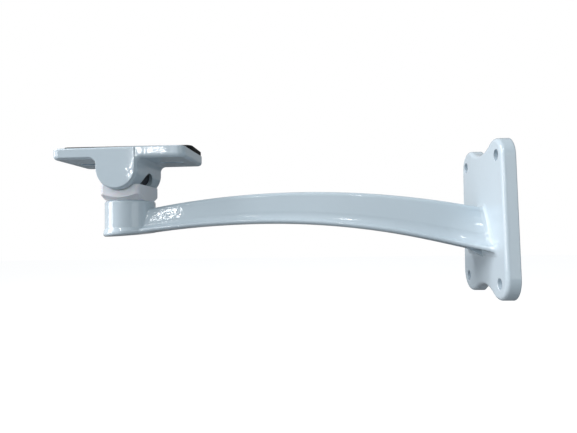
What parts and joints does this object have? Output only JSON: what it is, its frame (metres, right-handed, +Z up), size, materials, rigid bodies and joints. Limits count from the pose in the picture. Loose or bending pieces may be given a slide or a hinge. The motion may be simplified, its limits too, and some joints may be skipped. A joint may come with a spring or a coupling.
{
  "type": "straight camera wall bracket",
  "caption": "Straight wall bracket for a camera: lobed wall plate, arched arm with flared lips, turning saddle on a boss and a tilting head with screw slots and a rubber pad.",
  "frame": {"origin": "the middle of the wall plate's back face, at the centre of its four screw holes", "axes": "+X runs out of the wall along the arm, +Z is up and +Y runs across the plate"},
  "size_m": [0.2934, 0.0778, 0.1042],
  "materials": {
    "powder_coat": "satin",
    "saddle_plastic": "satin",
    "pad_rubber": "matte",
    "bare_casting": "satin",
    "plated_steel": "satin"
  },
  "bodies": {
    "bracket": {"wall_bracket": "powder_coat"},
    "swivel": {"saddle": "saddle_plastic", "clamp_block": "bare_casting", "clamp_bolt": "plated_steel", "flat_washer": "plated_steel", "lock_washer": "plated_steel", "clamp_nut": "plated_steel"},
    "platform": {"head": "powder_coat", "rubber_pad": "pad_rubber"}
  },
  "joints": [
    {"name": "pan", "type": "hinge", "parent": "bracket", "child": "swivel", "pos_m": [0.249, 0, 0.0175], "axis": [0, 0, 1], "range_deg": [-120, 120]},
    {"name": "tilt", "type": "hinge", "parent": "swivel", "child": "platform", "pos_m": [0.249, 0, 0.0381], "axis": [0, 1, 0], "range_deg": [-30, 45]}
  ]
}
